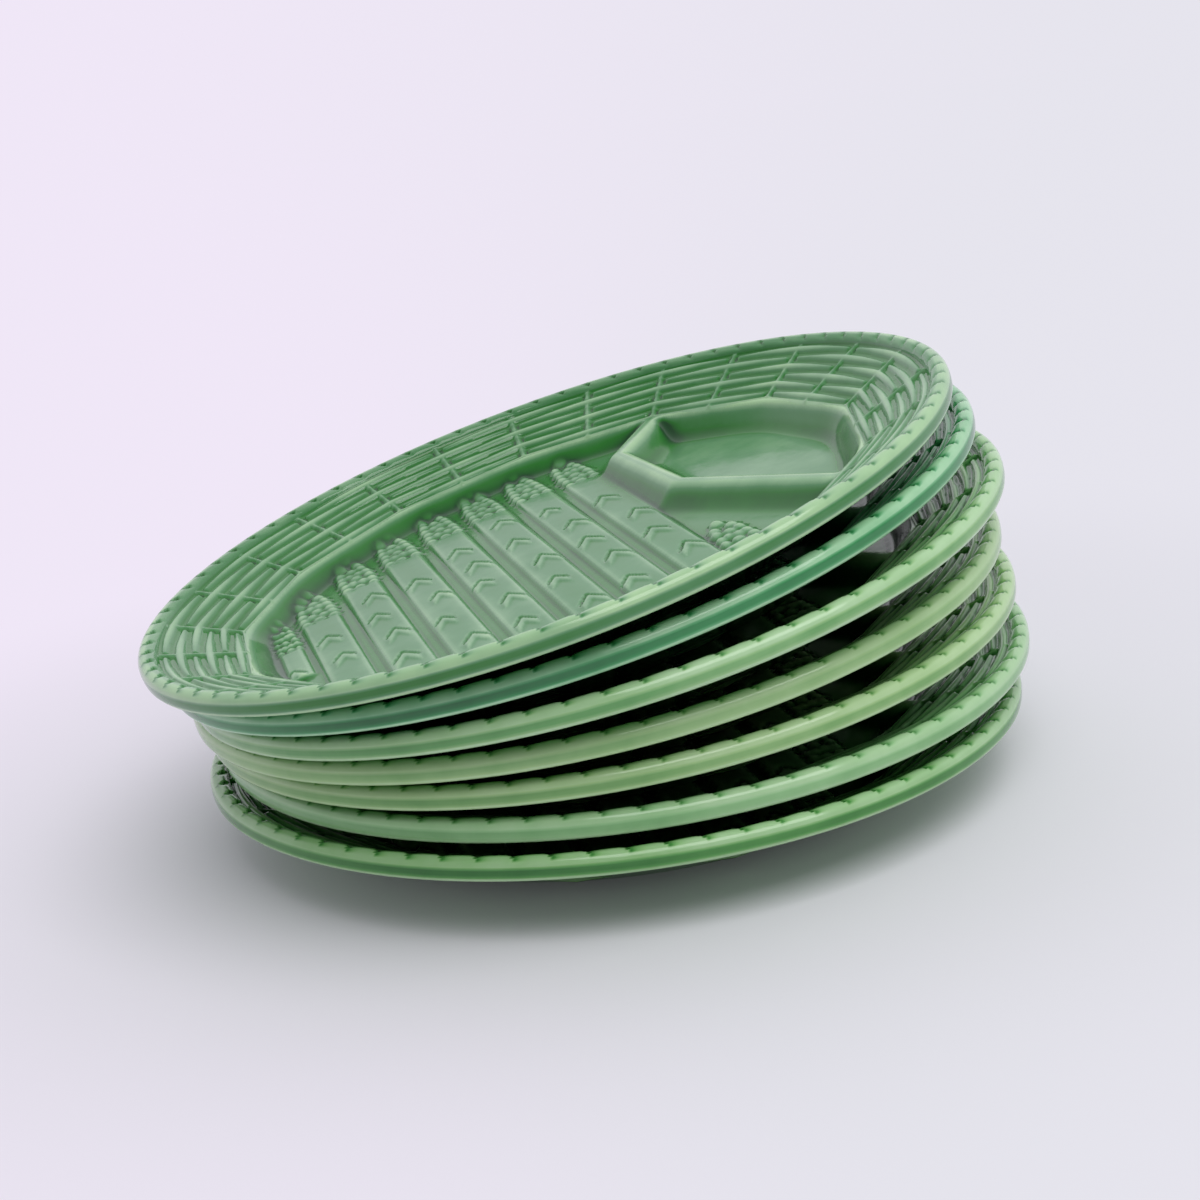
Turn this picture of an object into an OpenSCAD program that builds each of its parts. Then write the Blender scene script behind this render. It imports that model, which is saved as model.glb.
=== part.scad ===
/* [Plate] */
// Diameter over the roped edge
plate_d = 245; // [200:1:300]
// Thickness of the pottery under the rim of the well
wall = 4.4; // [3.5:0.1:6]

/* [Roped edge] */
// Height of the roped edge
bead_h = 6.2; // [5.6:0.1:8]
// Width of the roped edge
bead_w = 5.8; // [5:0.1:7]
// Number of notches around the edge
notch_count = 78; // [26:26:104]
// Depth of a notch
notch_depth = 0.8; // [0.4:0.1:1.2]
// Width of a notch
notch_w = 1.5; // [0.8:0.1:2]
// Slant of a notch from the radius, in degrees
notch_slant = 38; // [20:1:50]

/* [Basket rim] */
// Width of the basket rim, from the roped edge to the corners of the well
rim_w = 20.7; // [16:0.1:26]
// Number of woven rows
row_count = 6; // [3:1:7]
// Number of stakes that the rows are woven round
stake_count = 26; // [26:26:52]
// Drop from the top of the edge to the first row
rim_drop = 2.6; // [2:0.1:3.4]
// Height of a woven row above the rim
row_h = 0.9; // [0.4:0.1:1.2]
// Width of a stake
stake_w = 1.8; // [1:0.1:3]
// Height of a stake above the rim
stake_h = 1.2; // [0.6:0.1:1.6]

/* [Well] */
// Drop from the top of the edge to the rim of the well
well_drop = 11.8; // [10:0.1:13]
// Number of flat sides of the well
well_sides = 13; // [9:1:17]
// Depth of the floor below the rim of the well
well_depth = 6.6; // [5:0.1:7]
// Distance that a wall of the well runs inwards on its way down
well_run = 9; // [7:0.5:12]
// Turn of the first corner of the well, in degrees
well_turn = 12.8; // [0:0.1:27]

/* [Asparagus] */
// Gap between one spear and the next
groove_w = 1.6; // [1.2:0.1:3]
// Height of a spear above the floor
spear_h = 1.6; // [1:0.1:2]
// Number of spears beside the sauce well
spear_count = 7; // [6:1:8]
// Slant of the spears from the front to back line, in degrees
spear_slant = 15.5; // [0:0.5:20]
// Length of a spear's head
head_l = 28; // [20:1:34]
// Height of the buds above a spear's head
bud_h = 0.5; // [0.4:0.1:1]
// Distance from one leaf scale of a spear to the next
leaf_pitch = 22; // [15:1:30]
// Depth of the arrow-shaped cut that marks a leaf scale
leaf_cut = 0.5; // [0.3:0.1:0.7]

/* [Sauce well] */
// Depth of the sauce well below the floor of the plate
sauce_drop = 1.4; // [0.6:0.1:2]
// Width of the dividing ridge at its crest
crest_w = 3.4; // [2:0.1:5]
// Width of the dividing ridge at the floor
ridge_w = 17; // [13:0.5:20]

/* [Foot] */
// Height of the foot ring
foot_h = 1.8; // [1.4:0.1:4]
// Width of the foot ring
foot_w = 5; // [3:0.1:8]
// Distance from the foot of the well's wall in to the foot ring
foot_inset = 12; // [8:0.5:20]

/* [Stack] */
// Gap left where one plate rests on the next
seat_gap = 0.3; // [0.2:0.05:0.6]

/* [Hidden] */
NODES = ["bottom_plate", "second_plate", "third_plate", "fourth_plate", "fifth_plate", "sixth_plate", "top_plate"];

// How each plate lies on the one below: its lean in degrees, the side that is raised, and how far it has slid
lean_turn = [2, 2.6, 2.5, 3.1, 2.3, 1.2];
side_turn = [52, 2, 13, 7, 18, 22];
slide_shares = [[0.018, 0.019], [-0.007, -0.004], [-0.0065, -0.0095], [0.0165, -0.028], [-0.0155, 0.0025],
                [-0.0145, -0.026]];
glaze = [[0.36, 0.6, 0.36], [0.5, 0.72, 0.5], [0.58, 0.76, 0.52], [0.56, 0.74, 0.5], [0.5, 0.7, 0.47],
         [0.16, 0.52, 0.3], [0.47, 0.66, 0.52]];

// Radii and heights that follow from the driving sizes
under_z = foot_h;
floor_z = under_z + wall;
well_rim_z = floor_z + well_depth;
plate_h = well_rim_z + well_drop;
rim_r = plate_d / 2;
bead_in_r = rim_r - bead_w;
bead_r = bead_w / 2;
bead_foot_z = plate_h - bead_h;
edge_round = bead_w / 6;
well_r = bead_in_r - rim_w;
well_foot_r = well_r - well_run;
rim_rise = (well_drop - rim_drop) / rim_w;
flat_share = cos(180 / well_sides);
row_pitch = (bead_in_r - well_r * flat_share) / row_count;
woven_r = bead_in_r - row_count * row_pitch;
foot_r = well_foot_r - foot_inset;
foot_taper = foot_w / 6;
overrun = wall / 2;

function polar(r, a) = [r * cos(a), r * sin(a)];
function toward(p, q, d) = p + (q - p) * d / norm(q - p);

// Height of the bare rim at radius r
function rim_z(r) = well_rim_z + (r - well_r) * rim_rise;

// The dividing ridge runs from one corner of the well round two bends to another corner
bend_shares = [[0.24, 0.6], [0.415, 0.06]];
corner_turn = 360 / well_sides;
ridge_path = [polar(well_r - crest_w / 2, well_turn + 2 * corner_turn), bend_shares[0] * well_r,
              bend_shares[1] * well_r, polar(well_r - crest_w / 2, well_turn - corner_turn)];

// Outline of half a plate, turned about its axis, with its roped edge and woven rows still plain
module blank() {
    edge = [for (a = [0, 40, 75, 110, 160]) [rim_r - bead_r, plate_h - bead_r] + polar(bead_r, a)];
    rows = [for (i = [0 : row_count - 1], t = [0, 0.3, 0.7])
        let (r = bead_in_r - (i + t) * row_pitch) [r, rim_z(r) + (t > 0 ? row_h : 0)]];
    rotate_extrude($fn = 156)
        polygon(concat(
            [[0, under_z], [foot_r - foot_w, under_z], [foot_r - foot_w + foot_taper, 0], [foot_r - foot_taper, 0],
             [foot_r, under_z], [well_foot_r * flat_share, under_z], [well_r, well_rim_z - wall],
             [bead_in_r, bead_foot_z], [rim_r - edge_round, bead_foot_z], [rim_r, bead_foot_z + edge_round]],
            edge, rows, [[woven_r, rim_z(woven_r)], [0, rim_z(woven_r)]]));
}

// A hollow with flat walls that flare upwards from its floor
module hollow(low, high, z0, z1) {
    n = len(low);
    polyhedron(
        points = concat([for (p = low) [p.x, p.y, z0]], [for (p = high) [p.x, p.y, z1]]),
        faces = concat([[for (i = [0 : n - 1]) i], [for (i = [n - 1 : -1 : 0]) n + i]],
            [for (i = [0 : n - 1]) [i, n + i, n + (i + 1) % n]],
            [for (i = [0 : n - 1]) [i, n + (i + 1) % n, (i + 1) % n]]));
}

module well_hollow() {
    turns = [for (i = [0 : well_sides - 1]) well_turn + i * corner_turn];
    flare = well_run * (plate_h - floor_z) / well_depth;
    hollow([for (a = turns) polar(well_foot_r, a)],
           [for (a = turns) polar(well_foot_r + flare, a)],
           floor_z, plate_h);
}

module sauce_hollow() {
    path = ridge_path;
    middle = (path[0] + path[1] + path[2] + path[3]) / 4 + polar(well_foot_r, well_turn + corner_turn / 2) / 3;
    corners = [well_turn, well_turn + corner_turn];
    run = well_run * 0.9;
    z1 = well_rim_z + row_h / 2;
    hollow(
        [toward(path[3], middle, run), polar(well_foot_r - run / 3, corners[0]),
         polar(well_foot_r - run / 3, corners[1]), toward(path[0], middle, run),
         toward(path[1], middle, run), toward(path[2], middle, run)],
        [toward(path[3], middle, crest_w / 2), polar(well_r - run / 16, corners[0]),
         polar(well_r - run / 16, corners[1]), toward(path[0], middle, crest_w / 2),
         toward(path[1], middle, crest_w / 2), toward(path[2], middle, crest_w / 2)],
        floor_z - sauce_drop, z1);
}

module ridge_section() {
    shoulder = well_depth * 0.86;
    polygon([[-ridge_w / 2, -overrun], [ridge_w / 2, -overrun], [ridge_w / 2, 0], [crest_w / 2, shoulder],
             [crest_w / 4, well_depth], [-crest_w / 4, well_depth], [-crest_w / 2, shoulder], [-ridge_w / 2, 0]]);
}

module ridge() intersection() {
    ridge_run();
    // Keeps the ends of the ridge inside the wall of the well
    rotate_extrude($fn = 156)
        polygon([[0, floor_z - wall * 0.8], [well_foot_r * flat_share, floor_z - wall * 0.8],
                 [well_r, well_rim_z - wall * 0.8], [well_r, plate_h], [0, plate_h]]);
}

module ridge_run() {
    for (i = [0 : 2]) {
        run = ridge_path[i + 1] - ridge_path[i];
        translate([ridge_path[i].x, ridge_path[i].y, floor_z])
            rotate([90, 0, 90 + atan2(run.y, run.x)])
                linear_extrude(height = norm(run))
                    ridge_section();
    }
    for (i = [1, 2])
        translate([ridge_path[i].x, ridge_path[i].y, floor_z])
            rotate_extrude($fn = 48)
                intersection() {
                    ridge_section();
                    translate([0, -ridge_w]) square([ridge_w, 2 * ridge_w]);
                }
}

// A stake shows wherever the strand of a row passes under it, on every second stake of a row
module stakes() {
    for (i = [0 : row_count - 1], k = [0 : 2 : stake_count - 2]) {
        r = bead_in_r - (i + 1 / 2) * row_pitch;
        rotate(well_turn + (k + 1 - i % 2) * 360 / stake_count)
            translate([r, 0, rim_z(r)])
                rotate([0, -atan(rim_rise), 0])
                    rotate([90, 0, 90])
                        linear_extrude(height = row_pitch * 1.1, center = true)
                            polygon([[-stake_w / 2, -stake_h / 2], [stake_w / 2, -stake_h / 2],
                                     [stake_w / 3, stake_h], [-stake_w / 3, stake_h]]);
    }
}

// Slanted cuts across the inner side of the edge make it look like a rope
module notches() {
    for (k = [0 : notch_count - 1])
        rotate(k * 360 / notch_count)
            translate([rim_r - bead_w * 0.75, 0, plate_h])
                rotate([0, -notch_slant / 2, notch_slant])
                    rotate([90, 0, 90])
                        linear_extrude(height = bead_w, center = true)
                            polygon([[0, -notch_depth * 2], [notch_w, 0], [notch_w, bead_r], [0, bead_r]]);
}

// The spears fill the floor from beside the sauce well to the wall. Shares are of the distance between spears.
first_spear_share = 1.57;
right_share = 1.654;
spear_pitch = well_foot_r * flat_share / (spear_count - right_share);
spear_w = spear_pitch - groove_w;

// Distance of a spear's middle line from the plate's axis, and how far along it a circle of radius r reaches
function spear_offset(k) = (first_spear_share - k) * spear_pitch;
function reach(r, s) = sqrt(max(r * r - s * s, 0));

// Places of the first leaf scale of odd and even spears, in shares of the distance between leaf scales
leaf_shares = [0.5, 0.9];

// A spear has low upright sides and a rounded back
module spear_section(w) {
    side_h = spear_h / 4;
    back = spear_h - side_h;
    r = (w * w / 4 + back * back) / (2 * back);
    half = asin(w / 2 / r);
    polygon(concat([[-w / 2, -overrun], [w / 2, -overrun]],
        [for (t = [1 : -1 / 3 : -1]) [r * sin(t * half), spear_h - r + r * cos(t * half)]]));
}

// A head is a pointed slab with rows of round buds on it
head_shares = [[0, 0.48], [0.2, 0.474], [0.4, 0.435], [0.6, 0.345], [0.8, 0.196]];
bud_shares = [[0.14, -0.24], [0.14, 0.24], [0.36, 0], [0.54, -0.17], [0.54, 0.17], [0.76, 0]];
module spear_head(w) {
    side = [for (s = head_shares) [s[0] * head_l, s[1] * w]];
    bud_size = w / 5;
    translate([0, 0, -overrun])
        linear_extrude(height = overrun + spear_h * 0.8)
            polygon(concat([for (p = side) [p.x, -p.y]], [[head_l, 0]],
                           [for (i = [len(side) - 1 : -1 : 0]) side[i]]));
    for (b = bud_shares)
        translate([b[0] * head_l, b[1] * w, spear_h * 0.8 + bud_h - bud_size])
            sphere(bud_size, $fn = 24);
}

// Leaf scales point to the tip of the spear
module leaf_cuts(from, to, w) {
    reach = w * 0.28;
    for (x = [from : leaf_pitch : to])
        translate([x, 0, spear_h - leaf_cut])
            linear_extrude(height = spear_h)
                polygon([[0, 0], [-reach, reach], [-leaf_cut * 3, 0], [-reach, -reach]]);
}

module spear(s, tip, end, w, first_leaf) {
    rotate(90 + spear_slant)
        translate([0, -s, floor_z]) {
            difference() {
                translate([end, 0, 0])
                    rotate([90, 0, 90])
                        linear_extrude(height = tip - head_l * 0.96 - end)
                            spear_section(w);
                leaf_cuts(end + first_leaf * leaf_pitch, tip - head_l - w / 4, w);
            }
            translate([tip - head_l, 0, 0])
                spear_head(w);
        }
}

module spears() {
    for (k = [0 : spear_count - 1]) {
        s = spear_offset(k);
        spear(s, reach(well_foot_r, s) - spear_w / 5, -reach(well_foot_r, s) + spear_w / 3, spear_w,
              leaf_shares[k % 2]);
    }
    // A short one lies below the bend of the ridge, and a narrow one fills the side along the wall
    low_end = -reach(well_foot_r, spear_offset(-1)) + spear_w / 3;
    spear(spear_offset(-1), low_end + head_l * 1.2, low_end, spear_w, 2);
    side_edge = spear_offset(spear_count - 1 / 2);
    side_w = well_foot_r * flat_share + side_edge;
    side_tip = reach(well_foot_r, side_edge - side_w / 2) - spear_w / 5;
    if (side_w > spear_w / 4)
        spear(side_edge - side_w / 2, side_tip, side_tip - head_l * 1.2, side_w, 2);
}

module plate() {
    difference() {
        union() {
            difference() {
                blank();
                well_hollow();
            }
            ridge();
            stakes();
            spears();
        }
        sauce_hollow();
        notches();
    }
}

// Distance from a point to a stretch of the ridge's path
function stretch_gap(p, a, b) =
    let (t = max(0, min(1, (p - a) * (b - a) / ((b - a) * (b - a))))) norm(p - a - t * (b - a));
function ridge_z(p) =
    let (gap = min([for (i = [0 : 2]) stretch_gap(p, ridge_path[i], ridge_path[i + 1])]))
    floor_z + well_depth * max(0, min(1, (ridge_w / 2 - gap) * 2 / (ridge_w - crest_w)));

// Height of the rounded edge at radius r
function edge_z(r) = plate_h - bead_r + sqrt(max(0, bead_r * bead_r - pow(r - rim_r + bead_r, 2)));

// Highest that a plate's upper side reaches at a point, relief included
function upper_z(p) =
    let (r = norm(p), wall_z = floor_z + (r / flat_share - well_foot_r) * well_depth / well_run)
    r > rim_r ? -plate_d : r > bead_in_r ? edge_z(r) : r > well_r ? rim_z(r) + stake_h :
        max(floor_z + spear_h * 0.8 + bud_h, ridge_z(p), min(wall_z, rim_z(r) + stake_h));

// Points of a plate's underside that can touch the plate below
under_line = [[foot_r - foot_w + foot_taper, 0], [foot_r - foot_taper, 0], [foot_r, under_z],
              [well_foot_r * flat_share, under_z], [well_r, well_rim_z - wall], [bead_in_r, bead_foot_z],
              [rim_r - edge_round, bead_foot_z], [rim_r, bead_foot_z + edge_round]];
function closest(i) = under_line[i].x > well_r ? bead_r / 4 : foot_w / 2;
foot_rings = [for (i = [1 : len(under_line) - 1],
                   d = [0 : closest(i) : norm(under_line[i] - under_line[i - 1])])
    toward(under_line[i - 1], under_line[i], d)];

// A point turned about the plate's axis, with the side at angle side raised by turn degrees
function tilted(p, turn, side) =
    let (v = [sin(side), -cos(side), 0])
    p * cos(turn) + cross(v, p) * sin(turn) + v * (v * p) * (1 - cos(turn));
function slid(i) = slide_shares[i] * plate_d;

// Height at which plate i + 1 comes to rest on plate i
function rest_z(i) = seat_gap + max([for (a = [0 : 3 : 357], ring = foot_rings)
    let (p = tilted([ring[0] * cos(a), ring[0] * sin(a), ring[1]], lean_turn[i], side_turn[i]),
         q = [p.x, p.y] + slid(i))
    upper_z(q) - p.z]);

function step_matrix(i) =
    let (x = tilted([1, 0, 0], lean_turn[i], side_turn[i]), y = tilted([0, 1, 0], lean_turn[i], side_turn[i]),
         z = tilted([0, 0, 1], lean_turn[i], side_turn[i]), d = slid(i))
    [[x.x, y.x, z.x, d.x], [x.y, y.y, z.y, d.y], [x.z, y.z, z.z, rest_z(i)], [0, 0, 0, 1]];
level = [[1, 0, 0, 0], [0, 1, 0, 0], [0, 0, 1, 0], [0, 0, 0, 1]];
plate_count = len(NODES);
poses = [for (i = 0, m = level; i < plate_count; m = i < plate_count - 1 ? m * step_matrix(i) : m, i = i + 1) m];

// The origin lies on the table, under the middle of the whole stack
edges = [for (m = poses, a = [0 : 5 : 355], z = [bead_foot_z + edge_round, plate_h - bead_r])
    m * [rim_r * cos(a), rim_r * sin(a), z, 1]];
middle = [for (i = [0, 1]) let (span = [for (p = edges) p[i]]) (min(span) + max(span)) / 2];

module stacked(i) {
    color(glaze[i])
        translate([-middle.x, -middle.y, 0])
            multmatrix(poses[i])
                plate();
}

module bottom_plate() stacked(0);
module second_plate() stacked(1);
module third_plate() stacked(2);
module fourth_plate() stacked(3);
module fifth_plate() stacked(4);
module sixth_plate() stacked(5);
module top_plate() stacked(6);

bottom_plate();
second_plate();
third_plate();
fourth_plate();
fifth_plate();
sixth_plate();
top_plate();
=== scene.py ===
"""A leaning stack of asparagus plates in green glaze.

Each plate is moulded twice over, as its body, with foot, wall, basket rim and roped edge, and as the bed of its
well, with asparagus spears, dividing ridge and sauce well. Heights are worked out in the plate's own frame, with
the foot on Z 0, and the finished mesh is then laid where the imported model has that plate.
"""

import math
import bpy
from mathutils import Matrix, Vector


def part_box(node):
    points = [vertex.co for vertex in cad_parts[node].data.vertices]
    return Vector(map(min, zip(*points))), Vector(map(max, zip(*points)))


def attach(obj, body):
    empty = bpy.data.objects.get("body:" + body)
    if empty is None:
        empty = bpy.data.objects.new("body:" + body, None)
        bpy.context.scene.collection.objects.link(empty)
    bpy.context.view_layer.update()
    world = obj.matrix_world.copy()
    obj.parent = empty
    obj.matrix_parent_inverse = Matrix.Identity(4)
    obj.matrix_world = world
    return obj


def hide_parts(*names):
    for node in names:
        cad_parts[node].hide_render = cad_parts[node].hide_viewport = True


bl_info = {
    "name": "Asparagus plates",
    "version": (1, 0),
    "blender": (4, 5, 0),
    "location": "View3D > Sidebar > Plates",
    "description": "Models a stack of moulded asparagus plates in green glaze",
    "category": "Add Mesh",
}

from types import SimpleNamespace

import bmesh
import bpy
import numpy as np
from bpy.props import FloatProperty, FloatVectorProperty, IntProperty, PointerProperty
from mathutils import Matrix, Vector

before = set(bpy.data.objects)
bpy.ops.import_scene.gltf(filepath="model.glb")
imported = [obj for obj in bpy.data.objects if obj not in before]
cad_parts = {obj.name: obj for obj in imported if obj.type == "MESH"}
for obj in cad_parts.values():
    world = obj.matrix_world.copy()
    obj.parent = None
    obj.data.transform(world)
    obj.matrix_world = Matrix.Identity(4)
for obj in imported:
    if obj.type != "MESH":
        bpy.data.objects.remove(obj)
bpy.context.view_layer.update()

MM = 0.001
TURN = 2 * math.pi

PLATES = ["bottom_plate", "second_plate", "third_plate", "fourth_plate", "fifth_plate", "sixth_plate", "top_plate"]

# How each plate lies on the one below: lean and raised side in degrees, and slide in shares of the diameter
LEAN = [2, 2.6, 2.5, 3.1, 2.3, 1.2]
RAISED_SIDE = [52, 2, 13, 7, 18, 22]
SLIDE_SHARES = [(0.018, 0.019), (-0.007, -0.004), (-0.0065, -0.0095), (0.0165, -0.028), (-0.0155, 0.0025),
                (-0.0145, -0.026)]

# Glaze of each plate: palest on the edge, thin on raised forms, as it lies on the body, gathered, and deep
GLAZES = {
    "bottom_plate": ((0.42, 0.66, 0.36), (0.26, 0.52, 0.20), (0.10, 0.34, 0.08), (0.03, 0.18, 0.03),
                     (0.004, 0.05, 0.008)),
    "second_plate": ((0.48, 0.72, 0.42), (0.32, 0.60, 0.28), (0.17, 0.42, 0.15), (0.05, 0.22, 0.05),
                     (0.005, 0.06, 0.01)),
    "third_plate": ((0.54, 0.76, 0.42), (0.40, 0.64, 0.28), (0.22, 0.46, 0.15), (0.06, 0.24, 0.05),
                    (0.006, 0.06, 0.01)),
    "fourth_plate": ((0.52, 0.74, 0.40), (0.38, 0.62, 0.27), (0.20, 0.44, 0.14), (0.06, 0.23, 0.05),
                     (0.006, 0.06, 0.01)),
    "fifth_plate": ((0.50, 0.74, 0.44), (0.34, 0.60, 0.27), (0.15, 0.40, 0.13), (0.05, 0.20, 0.05),
                    (0.005, 0.06, 0.01)),
    "sixth_plate": ((0.44, 0.74, 0.46), (0.18, 0.50, 0.24), (0.05, 0.30, 0.10), (0.02, 0.16, 0.05),
                    (0.004, 0.05, 0.012)),
    "top_plate": ((0.44, 0.68, 0.38), (0.27, 0.48, 0.27), (0.10, 0.29, 0.12), (0.035, 0.21, 0.035),
                  (0.022, 0.08, 0.03)),
}

# How much glaze lies on the lower face of each plate's edge, and how much painted shade darkens that face
FACE_POOL_AND_SHADE = {"bottom_plate": 0.54, "second_plate": 0.24, "third_plate": 0.36, "fourth_plate": 0.24,
             "fifth_plate": 0.34, "sixth_plate": 0.5, "top_plate": 0.56}

# The mesh stays this far inside the solid's outline, the bed this far inside and below the well's rim, and the
# body's own floor this far below the sauce well
PLAY = 0.05 * MM
BED_PLAY = 0.08 * MM
RIM_PLAY = 0.02 * MM
CAP_DROP = 0.6 * MM


def length(default, name, description):
    return FloatProperty(name=name, description=description, default=default, min=0, unit="LENGTH")


def colour(default, name, description):
    return FloatVectorProperty(name=name, description=description, default=default, size=3, min=0, max=1,
                               subtype="COLOR")


def position(default, name, description):
    return FloatVectorProperty(name=name, description=description, default=default, size=3, subtype="TRANSLATION",
                               unit="LENGTH")


class PlateSizes(bpy.types.PropertyGroup):
    across: length(245 * MM, "Diameter", "Across the roped edge")
    height: length(24.6 * MM, "Height", "From the foot to the top of the roped edge")
    wall: length(4.4 * MM, "Wall", "Thickness of the pottery")
    edge_height: length(6.2 * MM, "Edge height", "Height of the roped edge")
    edge_width: length(5.8 * MM, "Edge width", "Width of the roped edge")
    notches: IntProperty(name="Notches", description="Slanted cuts round the roped edge", default=78, min=12)
    notch_depth: length(0.95 * MM, "Notch depth", "Depth of a slanted cut")
    notch_slant: FloatProperty(name="Notch slant", description="Slant of a cut from the radius", default=0.7,
                               subtype="ANGLE")
    rows: IntProperty(name="Rows", description="Woven rows of the basket rim", default=6, min=2)
    stakes: IntProperty(name="Stakes", description="Stakes that the rows are woven round", default=26, min=6)
    rim_drop: length(2.6 * MM, "Rim drop", "From the top of the edge to the first row")
    row_height: length(0.8 * MM, "Row height", "Height of a woven bar")
    stake_height: length(0.9 * MM, "Stake height", "Height of a stake between two bars")
    stake_width: length(1.9 * MM, "Stake width", "Width of a stake")
    well_across: length(192 * MM, "Well", "Across the corners of the well")
    well_drop: length(11.8 * MM, "Well drop", "From the top of the edge to the rim of the well")
    well_depth: length(6.6 * MM, "Well depth", "From the rim of the well to its floor")
    well_run: length(9 * MM, "Wall run", "Distance that a wall of the well runs inwards")
    bed_run: length(6.5 * MM, "Bed wall run", "Distance that the wall runs inwards on the bed, above its fillet")
    sides: IntProperty(name="Sides", description="Flat sides of the well", default=13, min=5)
    first_corner: FloatProperty(name="First corner", description="Turn of the well's first corner",
                                default=math.radians(12.8), subtype="ANGLE")
    spear_pitch: length(15.8 * MM, "Spear pitch", "From one spear to the next")
    spear_width: length(13.5 * MM, "Spear width", "Width of a spear")
    spear_height: length(1.75 * MM, "Spear height", "Height of a spear above the floor")
    spears: IntProperty(name="Spears", description="Whole spears beside the sauce well", default=7, min=1)
    spear_slant: FloatProperty(name="Spear slant", description="Slant of the spears", default=math.radians(15.5),
                               subtype="ANGLE")
    head: length(33 * MM, "Head", "Length of a spear's head")
    ridge_foot: length(17 * MM, "Ridge foot", "Width of the dividing ridge at the floor")
    ridge_crest: length(3.4 * MM, "Ridge crest", "Width of the dividing ridge at its crest")
    sauce_drop: length(1.4 * MM, "Sauce drop", "Depth of the sauce well below the floor")
    foot_across: length(150 * MM, "Foot", "Across the foot ring")
    foot_width: length(5 * MM, "Foot width", "Width of the foot ring")
    round_steps: IntProperty(name="Steps round", description="Divisions round a plate's body", default=936, min=156)
    bed_step: length(0.62 * MM, "Bed step", "Mesh width on the bed of the top plate's well")
    hidden_step: FloatProperty(name="Hidden step", description="How much coarser the beds of the lower plates are",
                               default=1.7, min=1)


class StudioSettings(bpy.types.PropertyGroup):
    paper: colour((0.80, 0.79, 0.84), "Paper", "Colour of the seamless paper")
    backdrop_left: colour((0.87, 0.80, 0.93), "Backdrop left", "Colour of the paper far behind, on the left")
    backdrop_right: colour((0.79, 0.78, 0.85), "Backdrop right", "Colour of the paper far behind, on the right")
    paper_half: length(6, "Paper half width", "Half the width of the sheet of paper")
    lamp: FloatProperty(name="Lamp", description="Power of the soft lamp overhead", default=13, min=0, unit="POWER")
    lamp_place: position((0.35, -0.65, 1.2), "Lamp place", "Where the soft lamp hangs")
    lamp_width: length(1.3, "Lamp width", "Width of the soft lamp")
    lamp_depth: length(0.9, "Lamp depth", "Depth of the soft lamp")
    lit_height: length(50 * MM, "Lit height", "Height on the stack at which the lamp points")
    room: FloatProperty(name="Surroundings", description="Strength of the light all round", default=0.85, min=0)
    room_tint: colour((0.95, 0.96, 1), "Surroundings tint", "Colour of the light all round")
    lens: FloatProperty(name="Lens", description="Focal length of the camera", default=60, min=1, unit="CAMERA")
    camera_place: position((0.019, -0.581, 0.1876), "Camera place", "From the middle of the bottom plate's edge")
    camera_turn: FloatVectorProperty(name="Camera turn", description="Turn of the camera from looking straight down",
                                     default=(math.radians(74.865), math.radians(6.886), 0), size=3,
                                     subtype="EULER")


# ---- sizes that follow from the plate's own ----

# Bends of the dividing ridge in shares of the well's radius, and its ends in sides from the first corner
RIDGE_BEND_SHARES = [(0.24, 0.60), (0.415, 0.06)]
RIDGE_END_SIDES = (2, -1.45)


def form_of(sizes):
    """Radii and heights that follow from a plate's sizes."""
    f = SimpleNamespace(**{k: getattr(sizes, k) for k in PlateSizes.__annotations__})
    f.rim_r = f.across / 2 - PLAY
    f.bead_r = f.edge_width / 2
    f.edge_in = f.rim_r - f.edge_width
    f.edge_foot = f.height - f.edge_height
    f.first_row = f.height - f.rim_drop
    f.well_r = f.well_across / 2
    f.well_foot_r = f.well_r - f.well_run
    f.well_rim = f.height - f.well_drop
    f.floor = f.well_rim - f.well_depth
    f.under = f.floor - f.wall
    f.flat_share = math.cos(math.pi / f.sides)
    f.side_turn = TURN / f.sides
    f.row_pitch = (f.edge_in - f.well_r * f.flat_share) / f.rows
    f.foot_r = f.foot_across / 2
    f.foot_soft = f.foot_width / 6
    turns = [f.first_corner + sides * f.side_turn for sides in RIDGE_END_SIDES]
    start, end = (Vector((math.cos(t), math.sin(t))) * (f.well_r - f.ridge_crest / 2) for t in turns)
    f.ridge = [start, *(Vector(bend) * f.well_r for bend in RIDGE_BEND_SHARES), end]
    return f


def smooth_step(t):
    t = np.clip(t, 0, 1)
    return t * t * (3 - 2 * t)


def between(value, rise, fall):
    """1 between two fades, each given by where it starts and ends."""
    return smooth_step((value - rise[0]) / (rise[1] - rise[0])) * smooth_step((fall[1] - value) / (fall[1] - fall[0]))


def soft_max(a, b, k):
    """The larger of two heights, with a fillet of about k where they meet."""
    h = np.clip(0.5 + 0.5 * (a - b) / k, 0, 1)
    return b + (a - b) * h + k * h * (1 - h)


def from_side(f, angle):
    """Angle from the middle of the nearest side of the well."""
    return (angle - f.first_corner) % f.side_turn - f.side_turn / 2


def well_edge(f, angle):
    """Distance from the axis to the well's straight-sided rim."""
    return f.well_r * f.flat_share / np.cos(from_side(f, angle))


# ---- basket rim and roped edge ----

# Relief of the weave: bare pottery between two bars, the pit where a bar goes under a stake, the length over which
# a bar's blunt end rises, and the lip round the well
GROOVE = 0.35 * MM
PIT = 0.4 * MM
BAR_END = 0.9 * MM
LIP = 0.35 * MM

# Turns about the roped edge, in degrees from its outer side, at which a cut, and the glaze and painted shade in it,
# fade in and out
CUT_TURNS = ((66, 100), (116, 156))
FILL_AND_SHADE_TURNS = ((42, 64), (110, 140))

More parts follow.
